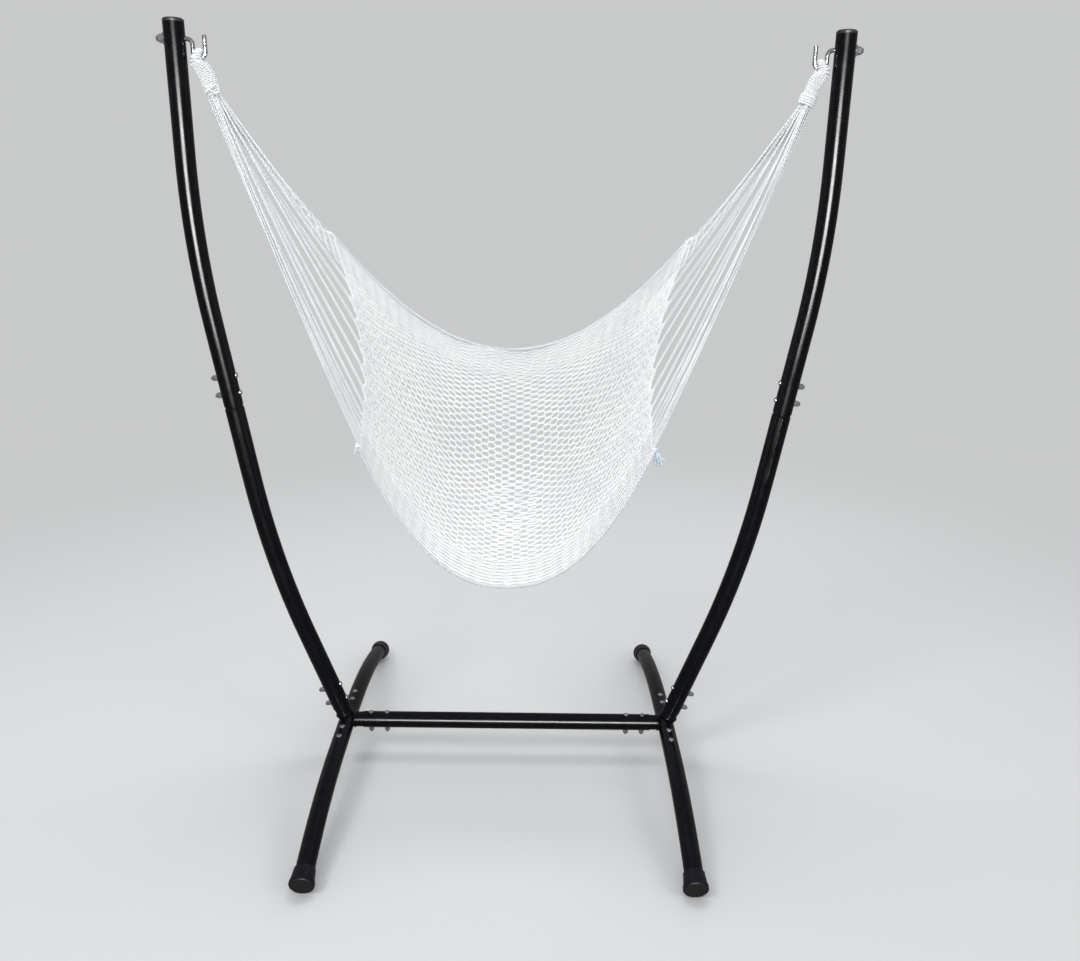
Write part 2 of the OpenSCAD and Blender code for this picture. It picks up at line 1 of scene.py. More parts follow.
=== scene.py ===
"""Looks of the hammock on its stand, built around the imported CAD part. Metres, CAD frame."""
import json
import math

import bpy
import numpy as np
from mathutils import Matrix, Vector


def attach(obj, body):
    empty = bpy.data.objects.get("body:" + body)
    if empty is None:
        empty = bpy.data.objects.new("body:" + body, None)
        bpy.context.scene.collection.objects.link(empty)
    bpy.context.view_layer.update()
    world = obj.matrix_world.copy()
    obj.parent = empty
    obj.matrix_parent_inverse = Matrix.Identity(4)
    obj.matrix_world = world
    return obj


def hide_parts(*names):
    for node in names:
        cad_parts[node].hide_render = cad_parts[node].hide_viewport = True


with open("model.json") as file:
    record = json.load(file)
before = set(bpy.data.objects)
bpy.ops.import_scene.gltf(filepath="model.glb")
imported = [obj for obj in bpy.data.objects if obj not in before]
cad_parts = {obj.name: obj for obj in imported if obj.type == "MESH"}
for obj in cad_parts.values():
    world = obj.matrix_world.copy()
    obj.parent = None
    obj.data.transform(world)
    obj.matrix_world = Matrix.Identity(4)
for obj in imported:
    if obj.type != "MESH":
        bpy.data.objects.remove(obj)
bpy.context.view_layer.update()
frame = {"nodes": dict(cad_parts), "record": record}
nodes = frame["nodes"]
rng = np.random.default_rng(20)

# ---------------------------------------------------------------- the CAD source's numbers, metres

SWING_X, SWING_Z = 0.716, 1.831
KNOT = np.array([0.694, 0.0, 1.762])
KNOT_HEIGHT, KNOT_GAP = 0.022, 0.006
KNOT_LEAN = math.atan((SWING_X - KNOT[0]) / (SWING_Z - KNOT[2]))
REAR_MID, MID_SLOPE, MID_R = (0.181, 1.133), (77.7, 26.7), 0.757
REAR_CORNER, SIDE_SLOPE, SIDE_R = (0.101, 1.435), (69.7, 49.7), 1.600
FRONT_HALF_W, REAR_EXTRA_W, REAR_TAPER = 0.352, 0.101, 2.0
CORD_AT = np.array([0.027, 0.047, 0.074, 0.102, 0.135, 0.20, 0.29, 0.39, 0.49, 0.60,
                    0.70, 0.78, 0.84, 0.88, 0.915, 0.945, 0.970, 0.990])
CORD_LAYERS = 3
CORD_D = 0.004
EDGE_D = 0.008


# ---------------------------------------------------------------- camera

CAMERA_AT = (0.0614, -2.3802, 1.5578)
# To the right, down and clockwise, in degrees
CAMERA_TURNS = (0.529, 17.145, 0.952)
SENSOR_MM = 36.0
LENS_MM = SENSOR_MM * 0.87963


def place_camera():
    """In front of the object and above its middle, looking down at it."""
    yaw, pitch, roll = (math.radians(a) for a in CAMERA_TURNS)
    forward = Vector((math.sin(yaw) * math.cos(pitch), math.cos(yaw) * math.cos(pitch),
                      -math.sin(pitch)))
    level = Vector((math.cos(yaw), -math.sin(yaw), 0.0))
    upright = level.cross(forward)
    right = level * math.cos(roll) + upright * math.sin(roll)
    up = upright * math.cos(roll) - level * math.sin(roll)
    data = bpy.data.cameras.new("camera")
    data.sensor_width, data.lens = SENSOR_MM, LENS_MM
    data.clip_start, data.clip_end = 0.05, 200.0
    camera = bpy.data.objects.new("camera", data)
    bpy.context.scene.collection.objects.link(camera)
    turn = Matrix((right, up, -forward)).transposed().to_4x4()
    camera.matrix_world = Matrix.Translation(CAMERA_AT) @ turn
    bpy.context.scene.camera = camera


place_camera()


# ---------------------------------------------------------------- material helpers

class Shader:
    """A Principled material with short calls for its procedural nodes."""

    def __init__(self, name, color, roughness, **inputs):
        self.material = bpy.data.materials.new(name)
        self.material.use_nodes = True
        self.tree = self.material.node_tree
        self.nodes, self.links = self.tree.nodes, self.tree.links
        self.bsdf = next(n for n in self.nodes if n.type == "BSDF_PRINCIPLED")
        self.set("Base Color", (*color, 1.0))
        self.set("Roughness", roughness)
        for key, value in inputs.items():
            self.set(key.replace("_", " "), value)
        self.coordinates = self.nodes.new("ShaderNodeTexCoord").outputs["Object"]

    def set(self, socket, value):
        self.bsdf.inputs[socket].default_value = value

    def feed(self, output, socket):
        self.links.new(output, self.bsdf.inputs[socket])

    def add(self, kind, **inputs):
        node = self.nodes.new("ShaderNode" + kind)
        for key, value in inputs.items():
            self.connect(value, node.inputs[key.replace("_", " ")])
        return node

    def noise(self, scale, detail=2.0, roughness=0.5):
        node = self.add("TexNoise", Scale=scale, Detail=detail, Roughness=roughness,
                        Vector=self.coordinates)
        return node.outputs["Fac"]

    def ramp(self, factor, *stops):
        """Colours between the stops, each of which is a place and a colour."""
        node = self.add("ValToRGB", Fac=factor)
        elements = node.color_ramp.elements
        while len(elements) < len(stops):
            elements.new(0.5)
        for element, (at, color) in zip(elements, stops):
            element.position = at
            element.color = (*color, 1.0)
        return node.outputs["Color"]

    def connect(self, value, socket):
        if isinstance(value, bpy.types.NodeSocket):
            self.links.new(value, socket)
        else:
            socket.default_value = value

    def math(self, operation, a, b=0.0):
        node = self.nodes.new("ShaderNodeMath")
        node.operation = operation
        self.connect(a, node.inputs[0])
        self.connect(b, node.inputs[1])
        return node.outputs["Value"]

    def spread(self, value, low, high, to_low, to_high):
        """The value moved from one range to another, and kept inside it."""
        node = self.add("MapRange", Value=value, From_Min=low, From_Max=high, To_Min=to_low,
                        To_Max=to_high)
        return node.outputs["Result"]

    def mix(self, factor, a, b):
        node = self.nodes.new("ShaderNodeMix")
        node.data_type = "RGBA"
        self.connect(factor, node.inputs[0])
        for value, socket in ((a, node.inputs[6]), (b, node.inputs[7])):
            self.connect((*value, 1.0) if isinstance(value, tuple) else value, socket)
        return node.outputs[2]

    def bump(self, *layers):
        """Layers of (height, strength, distance in metres), one on the other."""
        normal = None
        for height, strength, distance in layers:
            node = self.add("Bump", Height=height, Strength=strength, Distance=distance)
            if normal is not None:
                self.links.new(normal, node.inputs["Normal"])
            normal = node.outputs["Normal"]
        self.feed(normal, "Normal")


def black_paint():
    s = Shader("black_gloss_paint", (0.0025, 0.0025, 0.004), 0.18, Specular_IOR_Level=0.21)
    fine, broad = s.noise(900.0, 2.0), s.noise(24.0, 5.0, 0.6)
    s.feed(s.spread(broad, 0.3, 0.7, 0.17, 0.25), "Roughness")
    s.feed(s.ramp(s.noise(70.0, 6.0, 0.65), (0.45, (0.0016, 0.0016, 0.0028)),
                  (0.8, (0.006, 0.006, 0.009))), "Base Color")
    s.bump((broad, 0.03, 0.001), (fine, 0.03, 0.0001))
    return s.material


def chrome():
    s = Shader("bright_plate", (0.62, 0.63, 0.65), 0.16, Metallic=1.0)
    cloud = s.noise(140.0, 5.0, 0.6)
    s.feed(s.ramp(cloud, (0.3, (0.42, 0.425, 0.435)), (0.62, (0.80, 0.81, 0.83))), "Base Color")
    s.feed(s.spread(s.noise(320.0, 4.0), 0.3, 0.7, 0.08, 0.2), "Roughness")
    s.bump((s.noise(1200.0, 3.0), 0.12, 0.0002))
    return s.material


def rubber():
    """Smooth round the sides, which are tinted blue as painted sheen, and duller and browner on the
    end faces, which look along Y.
    """
    s = Shader("moulded_rubber", (0.004, 0.0035, 0.0035), 0.42, Specular_IOR_Level=0.26,
               Sheen_Weight=0.015, Sheen_Roughness=0.35, Sheen_Tint=(0.45, 0.5, 0.9, 1.0))
    normal = s.add("SeparateXYZ", Vector=s.nodes.new("ShaderNodeNewGeometry").outputs["Normal"])
    end = s.spread(s.math("ABSOLUTE", normal.outputs["Y"]), 0.80, 0.93, 0.0, 1.0)
    # The sides: random mottle, tinted blue as painted sheen
    mottle_and_sheen = s.ramp(s.noise(90.0, 6.0, 0.7), (0.35, (0.003, 0.003, 0.006)),
                    (0.75, (0.008, 0.008, 0.015)))
    # The end faces: darker and browner, with random mottle
    end_face_tone = s.ramp(s.noise(220.0, 7.0, 0.75), (0.3, (0.0028, 0.002, 0.0018)),
                  (0.72, (0.008, 0.0062, 0.0056)))
    s.feed(s.mix(end, mottle_and_sheen, end_face_tone), "Base Color")
    s.feed(s.spread(end, 0.0, 1.0, 0.32, 0.75), "Roughness")
    s.bump((s.noise(700.0, 4.0), 0.25, 0.0004), (s.noise(60.0, 3.0), 0.15, 0.001))
    return s.material


def black_plastic():
    s = Shader("satin_plastic", (0.022, 0.022, 0.025), 0.4, Specular_IOR_Level=0.5)
    s.feed(s.ramp(s.noise(160.0, 5.0), (0.35, (0.016, 0.016, 0.019)),
                  (0.7, (0.034, 0.034, 0.038))), "Base Color")
    s.feed(s.spread(s.noise(80.0, 4.0), 0.3, 0.7, 0.32, 0.5), "Roughness")
    s.bump((s.noise(1600.0, 3.0), 0.3, 0.0003))
    return s.material


def white_cord(name, lay, plies, tint):
    """Twisted cord with grooves between its plies, each of which goes round once in the lay, in
    metres; the grooves are darkened as painted shade. The UV map holds turns round the cord and
    metres along it."""
    s = Shader(name, (0.88, 0.89, 0.90), 0.78, Sheen_Weight=0.2, Sheen_Roughness=0.45,
               Specular_IOR_Level=0.25)
    uv = s.nodes.new("ShaderNodeUVMap")
    uv.uv_map = "cord"
    parts = s.add("SeparateXYZ", Vector=uv.outputs["UV"])
    turns = s.math("ADD", s.math("MULTIPLY", parts.outputs["X"], float(plies)),
                   s.math("MULTIPLY", parts.outputs["Y"], 1.0 / lay))
    strand = s.math("ABSOLUTE", s.math("SINE", s.math("MULTIPLY", turns, math.pi)))
    # Painted shade: the colour goes to the darker tone in the grooves between the plies
    groove_shade_mask = s.spread(strand, 0.0, 0.45, 0.0, 1.0)
    clean, dull, dark = (tuple(min(0.93, t * k + lift) for t in tint)
                         for k, lift in ((1.0, 0.08), (0.84, 0.0), (0.76, 0.0)))
    soil = s.ramp(s.noise(9.0, 5.0, 0.6), (0.35, tint), (0.65, clean))
    fibre = s.noise(1500.0, 3.0, 0.6)
    shade = s.mix(s.spread(fibre, 0.3, 0.7, 0.0, 0.3), soil, dull)
    s.feed(s.mix(groove_shade_mask, dark, shade), "Base Color")
    s.bump((strand, 0.7, 0.0006), (fibre, 0.5, 0.0003))
    return s.material


PAINT, CHROME, RUBBER, PLASTIC = black_paint(), chrome(), rubber(), black_plastic()
NET_CORD = white_cord("net_cord", 0.009, 2, (0.85, 0.865, 0.88))
FAN_CORD = white_cord("fan_cord", 0.010, 2, (0.83, 0.855, 0.88))
WRAP_CORD = white_cord("wrapping_cord", 0.007, 2, (0.84, 0.865, 0.875))
# Greyer than the other cords: painted shade for the turned-down underside of the front rope; the
# rear rope shares it
SHADED_EDGE_CORD = white_cord("edge_cord", 0.010, 3, (0.74, 0.76, 0.78))
TUFT_CORD = white_cord("tuft_cord", 0.006, 2, (0.66, 0.76, 0.84))
# Cores of the loops and knots, tinted dark: painted shade in the gaps between the wrapping's turns
CORE_SHADE_CORD = white_cord("core_cord_painted_shade", 0.007, 2, (0.50, 0.53, 0.57))

SLOT_MATERIALS = {"black_paint": PAINT, "chrome": CHROME, "rubber": RUBBER,
                  "black_plastic": PLASTIC}
for part in frame["record"]["subparts"]:
    if part["material_slot"] in SLOT_MATERIALS:
        mesh = nodes[part["node"]].data
        mesh.materials.clear()
        mesh.materials.append(SLOT_MATERIALS[part["material_slot"]])


# ---------------------------------------------------------------- mesh helpers

def unit(a):
    return a / np.maximum(np.linalg.norm(a, axis=-1, keepdims=True), 1e-12)


def run(path):
    """How far along the path each of its points is."""
    return np.concatenate([[0], np.cumsum(np.linalg.norm(np.diff(path, axis=0), axis=1))])


def sideways(path, up):
    """The path's direction at each point, the one to its side, and the one nearest to up."""
    along = unit(np.gradient(path, axis=0))
    side = unit(np.cross(along, np.broadcast_to(np.asarray(up, float), path.shape)))
    return along, side, np.cross(side, along)


class Tubes:
    """Many closed round tubes gathered into one mesh with a UV map of turns and metres."""

    def __init__(self, sides):
        self.sides = sides
        self.points, self.quads, self.caps, self.uvs = [], [], [], []
        self.count = 0

    def add(self, path, radius, up, flat=None):
        """up: a direction, or one for each point, that the rings are turned to. flat: the tube's
        half thickness along up, if it isn't round."""
        path = np.asarray(path, float)
        n, sides = len(path), self.sides
        _, side, up = sideways(path, up)
        radius = np.broadcast_to(radius, (n,))
        flat = radius if flat is None else np.broadcast_to(flat, (n,))
        angle = 2 * np.pi * np.arange(sides) / sides
        ring = (path[:, None] + (radius[:, None] * np.cos(angle))[..., None] * side[:, None]
                + (flat[:, None] * np.sin(angle))[..., None] * up[:, None])
        length = run(path)
        k, s = np.meshgrid(np.arange(n - 1), np.arange(sides), indexing="ij")
        k, s, t = k.ravel(), s.ravel(), (s.ravel() + 1) % sides
        self.quads.append(np.stack([k * sides + s, k * sides + t, (k + 1) * sides + t,
                                    (k + 1) * sides + s], 1) + self.count)
        low, high = s / sides, (s + 1) / sides
        self.uvs.append(np.stack([low, length[k], high, length[k], high, length[k + 1], low,
                                  length[k + 1]], 1).reshape(-1, 4, 2))
        first = np.arange(sides)[::-1] + self.count
        self.caps += [first, first[::-1] + (n - 1) * sides]
        self.points.append(ring.reshape(-1, 3))
        self.count += n * sides

    def build(self, name, material, stands_for=()):
        """One smooth mesh that rides the hammock."""
        points, quads = np.concatenate(self.points), np.concatenate(self.quads)
        caps = np.array(self.caps)
        mesh = bpy.data.meshes.new(name)
        mesh.vertices.add(len(points))
        mesh.vertices.foreach_set("co", points.astype(np.float32).ravel())
        corners = np.concatenate([quads.ravel(), caps.ravel()])
        mesh.loops.add(len(corners))
        mesh.loops.foreach_set("vertex_index", corners.astype(np.int32))
        sizes = np.concatenate([np.full(len(quads), 4), np.full(len(caps), self.sides)])
        starts = np.concatenate([[0], np.cumsum(sizes)[:-1]])
        mesh.polygons.add(len(sizes))
        mesh.polygons.foreach_set("loop_start", starts.astype(np.int32))
        mesh.polygons.foreach_set("loop_total", sizes.astype(np.int32))
        mesh.polygons.foreach_set("use_smooth", np.ones(len(sizes), bool))
        mesh.update(calc_edges=True)
        layer = mesh.uv_layers.new(name="cord")
        uv = np.concatenate([np.concatenate(self.uvs).ravel(), np.zeros(caps.size * 2)])
        layer.data.foreach_set("uv", uv.astype(np.float32))
        mesh.validate()
        mesh.materials.append(material)
        piece = bpy.data.objects.new(name, mesh)
        bpy.context.scene.collection.objects.link(piece)
        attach(piece, "hammock")
        if stands_for:
            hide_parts(*stands_for)
        return piece


def twisted(tubes, path, reach, lay, plies, up, phase=0.0):
    """Strands that twist round a path, with the whole cord reaching that far from it."""
    strand = reach * (0.6 if plies == 2 else 0.52)
    offset = reach - strand
    _, side, up = sideways(path, up)
    for k in range(plies):
        angle = 2 * np.pi * (run(path) / lay + k / plies) + phase
        line = path + offset * (np.cos(angle)[:, None] * side + np.sin(angle)[:, None] * up)
        tubes.add(line, strand, up)


def resample(path, step):
    """The same line with points that far apart."""
    length = run(path)
    at = np.linspace(0, length[-1], max(2, int(round(length[-1] / step)) + 1))
    return np.stack([np.interp(at, length, path[:, i]) for i in range(3)], 1)


def smooth(points, n):
    """A Catmull-Rom curve through the points, with n steps between each two."""
    p = np.asarray(points, float)
    p = np.concatenate([[2 * p[0] - p[1]], p, [2 * p[-1] - p[-2]]])
    out = []
    for i in range(1, len(p) - 2):
        for t in np.arange(n) / n:
            out.append(0.5 * (2 * p[i] + (p[i + 1] - p[i - 1]) * t
                              + (2 * p[i - 1] - 5 * p[i] + 4 * p[i + 1] - p[i + 2]) * t ** 2
                              + (3 * p[i] - p[i - 1] - 3 * p[i + 1] + p[i + 2]) * t ** 3))
    return np.array(out + [p[-2]])


# ---------------------------------------------------------------- the net's surface

def turned(start, slopes, r, v):
    """Y and Z on an arc from its start, with its slope going from the first to the last."""
    a = np.radians(slopes[0] + (slopes[1] - slopes[0]) * v)
    first = math.radians(slopes[0])
    return (start[0] - r * (math.sin(first) - np.sin(a)),
            start[1] - r * (np.cos(a) - math.cos(first)))


def half_width(v):
    v = np.clip(v, 0, 1)
    return FRONT_HALF_W + REAR_EXTRA_W * (1 - v) ** REAR_TAPER


def net_point(u, v):
    """The net's middle surface: u is -1 at its left side and 1 at its right, and v is 0 at its rear
    edge and 1 at its front."""
    u, v = np.broadcast_arrays(np.asarray(u, float), np.asarray(v, float))
    mid_y, mid_z = turned(REAR_MID, MID_SLOPE, MID_R, v)
    side_y, side_z = turned(REAR_CORNER, SIDE_SLOPE, SIDE_R, v)
    rise = np.abs(u) ** (2 + 0.3 * v)
    return np.stack([half_width(v) * u, mid_y + (side_y - mid_y) * u * u,
                     mid_z + (side_z - mid_z) * rise], -1)


def net_normal(u, v, step=0.01):
    across = net_point(u + step, v) - net_point(u - step, v)
    down = net_point(u, v - step) - net_point(u, v + step)
    return unit(np.cross(across, down))


# ---------------------------------------------------------------- the net, row by row

NET_LENGTH = MID_R * math.radians(MID_SLOPE[0] - MID_SLOPE[1])
NET_CORD_R = 0.0019
CELLS = 28
# Half a wave of a row: places along it, and how far out of line the row is there
HALF_WAVE_AT = np.array([0.0, 0.045, 0.14, 0.5, 0.86, 0.955])
HALF_WAVE = np.array([0.0, 0.72, 0.97, 1.05, 0.97, 0.72])
# Distance between rows in mm, from the rear edge to the front edge
PITCH_AT = (0.0, 0.09, 0.13, 0.2, 0.28, 0.33, 0.42, 0.6, 0.7, 0.82, 0.865, 0.885, 1.0)
PITCH_MM = (4.2, 4.4, 6.2, 7.2, 8.2, 9.3, 9.2, 8.4, 8.0, 7.5, 6.8, 5.2, 4.9)
SHUT_PITCH, OPEN_PITCH = 0.0050, 0.0060
# How far rows drift along themselves, as a share of a row: together, and each row where they shut
DRIFT, SHUT_DRIFT = 0.003, 0.004
# How far the cord rises at crossings and in the ridges of shut rows, and how far the net billows
CROSSING_RISE, RIDGE_RISE, BILLOW = 0.0012, 0.0013, 0.0035
# Small jogs of the cord down the net, along u and outwards: everywhere, and more in the tangle
JOGS = ((0.00013, 0.0009), (0.0003, 0.002), (0.0001, 0.0008))
# A fuzzy, tangled patch: its middle and half its size, in u and v
TANGLE_AT, TANGLE_SIZE = (0.02, 0.68), (0.25, 0.15)
BANDS = 4
# The cord along each side edge, and the row's cord where it turns round it
SIDE_CORD_R, SIDE_CORD_LAY, TURN_R = 0.0023, 0.012, 0.0016


def row_places():
    """The rows' places v, at the pitches above."""
    v = np.linspace(0, 1, 4001)
    pitch = np.interp(v, PITCH_AT, PITCH_MM) / 1000
    count = np.concatenate([[0], np.cumsum(np.diff(v) * NET_LENGTH / pitch[1:])])
    rows = int(count[-1])
    return np.interp(np.arange(rows + 1) * count[-1] / rows, count, v)


def side_edge(v):
    """How far out the net reaches: full where a cord pulls, less between the cords."""
    stops = np.concatenate([[-0.02], CORD_AT, [1.02]])
    k = np.clip(np.searchsorted(stops, v) - 1, 0, len(stops) - 2)
    gap = stops[k + 1] - stops[k]
    t = (v - stops[k]) / gap
    return 1 - 4 * t * (1 - t) * np.minimum(0.34 * gap, 0.05)


def ripple(u, v, seed):
    """Smooth uneven ground, about -1 to 1."""
    r = np.random.default_rng(seed)
    total = 0
    for _ in range(7):
        a, b, c = r.uniform(2, 13), r.uniform(3, 17), r.uniform(0, 6.28)
        total = total + np.sin(a * u + b * v + c + 1.3 * np.sin(0.7 * b * v - 0.6 * a * u + c))
    return total / 4


def row_line(j, v, dv):
    """The wavy line of row j, with its radius: crests meet the next row's troughs and twist
    round them, and near the net's front and rear edges the rows close up into ridges."""
    halves = np.arange(2 * CELLS)
    share = np.append((halves[:, None] + HALF_WAVE_AT).ravel(), 2 * CELLS) / (2 * CELLS)
    sign = np.where(halves % 2, -1, 1)
    wave = np.append((sign[:, None] * HALF_WAVE).ravel(), 0.0)
    u = np.linspace(-1, 1, 401) * side_edge(v)
    base = net_point(u, v)
    arc = run(base)
    shut = np.clip((OPEN_PITCH - dv * NET_LENGTH) / (OPEN_PITCH - SHUT_PITCH), 0, 1)
    drift = ripple(2 * share - 1, v, 3) * DRIFT + shut * rng.normal(0, SHUT_DRIFT)
    u = np.interp((share + drift * np.sin(np.pi * share)) * arc[-1], arc, u)
    local = np.linalg.norm(net_point(u, v + 0.005) - net_point(u, v - 0.005), axis=1) / 0.01
    gap = dv * local
    edge = np.clip((1 - np.abs(2 * share - 1)) * 22, 0, 1)
    tangle = np.exp(-((u - TANGLE_AT[0]) / TANGLE_SIZE[0]) ** 4
                    - ((v - TANGLE_AT[1]) / TANGLE_SIZE[1]) ** 4)
    tangle = tangle * np.clip(0.62 + 1.5 * ripple(u * 5, v * 5, 8), 0, 1)
    uneven = 1 + 0.13 * ripple(u * 3, v * 3, 11) - 0.35 * tangle
    uneven = uneven * (1 - (0.5 if v > 0.5 else 0.25) * shut)
    radius = NET_CORD_R * (1 - 0.08 * shut) * (1 + 0.7 * tangle) * (1 - 0.2 * u * u)
    crest = np.clip((gap - 1.75 * radius) / 2, 0.0001, 1) * (0.3 + 0.7 * edge) * uneven
    jog = rng.normal(0, 1, (3, len(u)))
    jog = (jog + np.roll(jog, 1, 1) + np.roll(jog, -1, 1)) / 1.9
    jog = jog * np.array([even + more * tangle for even, more in JOGS])
    turn = 1 if j % 2 else -1
    theta = np.pi * 2 * CELLS * share
    offset = turn * crest * wave + shut * 0.0008 * np.sin(theta)
    offset = offset + jog[0]
    place = net_point(np.clip(u + jog[1], -1, 1), v + offset / local)
    height = turn * (CROSSING_RISE * (1 - shut) * np.sin(2 * theta) + RIDGE_RISE * shut)
    height = height + jog[2]
    height = height + BILLOW * ripple(u * 0.8, v, 5) * (1 - u * u)
    normal = net_normal(u, v)
    return place + normal * height[:, None], normal, radius


ROWS = row_places()
ROW_STEPS = np.gradient(ROWS)


def build_net():
    """Rows from rear to front in bands, the loops that turn each row into the next, and the cord
    that they turn round along each side edge."""
    ends = []
    bands = np.array_split(np.arange(len(ROWS)), BANDS)
    for b, band in enumerate(bands):
        tubes = Tubes(6)
        for j in band:
            line, up, radius = row_line(j, ROWS[j], ROW_STEPS[j])
            tubes.add(line, radius * (1 + 0.05 * rng.normal()), up)
            ends.append((line[0], line[-1]))
        piece = tubes.build(f"net_rows_{b + 1}", NET_CORD,
                            stands_for=["seat_net"] if b == 0 else ())
    for side, name in ((0, "left"), (1, "right")):
        v = np.linspace(-0.004, 1.004, 260)
        sign = 2 * side - 1
        line = net_point(sign * side_edge(v), v)
        outward = unit(line - net_point(sign * (side_edge(v) - 0.02), v))
        tubes = Tubes(6)
        twisted(tubes, resample(line + 0.001 * outward, 0.0022), SIDE_CORD_R, SIDE_CORD_LAY, 2,
                (0, 1, 0.3))
        loops = np.array([e[side] for e in ends])
        out = unit(loops - net_point(sign * (side_edge(ROWS) - 0.02), ROWS))
        for j in range(side, len(loops) - 1, 2):
            reach = rng.uniform(0.003, 0.0055)
            middle = (loops[j] + loops[j + 1]) / 2 + (out[j] + out[j + 1]) * reach / 2
            points = [loops[j] - 0.003 * out[j], loops[j] + 0.0025 * out[j],
                      middle + rng.normal(0, 0.0006, 3), loops[j + 1] + 0.0025 * out[j + 1],
                      loops[j + 1] - 0.003 * out[j + 1]]
            tubes.add(smooth(points, 4), TURN_R, net_normal(sign, ROWS[j]))
        tubes.build(f"{name}_side_cord", NET_CORD)


build_net()


# ---------------------------------------------------------------- ropes along rear and front edges

EDGE_LAY = 0.021
EDGE_WRAP_R = 0.0013


def edge_line(v, outward):
    """Middle of the rope just outside the net's edge at v; outward is -1 or 1 along v."""
    u = np.linspace(-1, 1, 121)
    base = net_point(u, v)
    along = unit(net_point(u + 0.01, v) - net_point(u - 0.01, v))
    away = base - net_point(u, v - outward * 0.01)
    away = unit(away - along * np.sum(away * along, axis=1, keepdims=True))
    return base + away * (EDGE_D / 2)


def build_edge_rope(name, v, outward):
    """A three-strand rope with a small ring of cord round it every few millimetres."""
    tubes = Tubes(7)
    line = resample(edge_line(v, outward), 0.0025)
    twisted(tubes, line, EDGE_D / 2 - 0.0008, EDGE_LAY, 3, (0, 1, 0.2))
    along, side, up = sideways(line, (0.0, 1.0, 0.3))
    angle = np.linspace(0, 2 * np.pi, 9)[:, None]
    for i in range(3, len(line) - 3, 3):
        lean = rng.normal(0, 0.0012)
        ring = line[i] + (EDGE_D / 2) * (np.cos(angle) * side[i] + np.sin(angle) * up[i])
        ring = ring + along[i] * (0.0016 * np.sin(angle) + lean)
        tubes.add(ring, EDGE_WRAP_R + 0.0002 * rng.normal(), along[i])
    tubes.build(f"{name}_edge_rope", SHADED_EDGE_CORD, stands_for=[f"{name}_edge_cord"])


build_edge_rope("rear", 0.0, -1)
build_edge_rope("front", 1.0, 1)


# ---------------------------------------------------------------- fans of suspension cords

KNOT_AXIS = np.array([math.sin(KNOT_LEAN), 0.0, math.cos(KNOT_LEAN)])
STRAND_R, STRAND_LAY = 0.0017, 0.011
# Distance between a band's strands along the net's edge, and how far in from it they turn back
STRAND_STEP, EDGE_TURN = 0.0044, 0.0045
# How far the front and the rear cords bow sideways
FRONT_BOW, REAR_BOW = 0.010, 0.006
# Up to this v the strands are woven together near the net, and how far they swing out there
WOVEN_TO, WEAVE = 0.14, 0.0034


def mirrored(points, sign):
    return np.asarray(points, float) * np.array([sign, 1.0, 1.0])


def fan_cords():
    """For the right side: each cord is a flat band of two to four strands from the knot to the
    net's side edge, where they turn round the edge in pairs. The list holds the band's middle
    line, its strands and its width."""
    down = unit(net_point(1, 0.5) - KNOT)
    spread = unit(net_point(1, 1) - net_point(1, 0))
    across = unit(spread - down * (spread @ down))
    layer = np.cross(down, across)
    start = KNOT - KNOT_AXIS * (KNOT_HEIGHT / 2 + KNOT_GAP)
    cords = []
    for k, v in enumerate(CORD_AT):
        slot = k // CORD_LAYERS - (len(CORD_AT) / CORD_LAYERS - 1) / 2
        depth = k % CORD_LAYERS - (CORD_LAYERS - 1) / 2
        first = start + across * slot * (CORD_D + 0.0006) + layer * depth * (CORD_D + 0.002)
        woven = v < WOVEN_TO
        count = 4 if v > 0.75 else 3 if woven or v > 0.45 else 2
        t = np.linspace(0, 1, 31 if woven else 9)[1:-1, None]
        bow = (FRONT_BOW * np.clip((v - 0.6) / 0.3, 0, 1)
               + REAR_BOW * np.clip(1 - v / 0.4, 0, 1))
        strands = []
        for half in np.arange(count) - (count - 1) / 2:
            near = first + across * half * 0.0016 + layer * 0.0012 * (-1) ** int(half + 9)
            inside = near * 0.55 + (KNOT + KNOT_AXIS * 0.002) * 0.45
            place = np.clip(v + half * STRAND_STEP / NET_LENGTH, 0.0, 1.0)
            edge = net_point(1, place) + net_normal(1, place) * 0.0016 * (-1) ** int(half + 9)
            sag = rng.uniform(0.0, 0.002)
            middle = near + (edge - near) * t
            curve = 4 * t * (1 - t)
            web = WEAVE * np.clip(2.2 * t - 0.9, 0, 1) * woven
            weave = web * (-1.0) ** (np.arange(len(t))[:, None] + round(2 * half))
            middle = middle + across * ((bow + rng.normal(0, 0.001)) * curve + weave)
            middle[:, 2] -= sag * curve[:, 0]
            strands.append(smooth(np.concatenate([[inside, near], middle, [edge]]),
                                  3 if woven else 6))
        inward = net_point(1, v)
        inward = inward + unit(net_point(0.98, v) - inward) * EDGE_TURN
        lines = []
        for a in range(0, count - 1, 2):
            one, two = strands[a], strands[a + 1]
            turn = inward + (one[-1] + two[-1]) / 2 - net_point(1, v)
            bight = smooth([one[-1], turn - across * 0.0016, turn + across * 0.0016, two[-1]], 4)
            lines.append(np.concatenate([one, bight[1:-1], two[::-1]]))
        if count % 2:
            lines.append(strands[-1])
        cords.append((sum(strands) / count, lines, count * STRAND_STEP))
    return cords


def build_fans():
    cords = fan_cords()
    for sign, side in ((-1, "left"), (1, "right")):
        for k, (middle, lines, width) in enumerate(cords):
            tubes = Tubes(5)
            for line in lines:
                twisted(tubes, resample(mirrored(line, sign), 0.0032), STRAND_R, STRAND_LAY, 2,
                        (0, 1, 0.1), phase=rng.uniform(0, 6))
            piece = tubes.build(f"{side}_cord_{k + 1}", FAN_CORD,
                                stands_for=[f"{side}_suspension_cords"] if k == 0 else ())
            middle = mirrored(middle, sign)


build_fans()


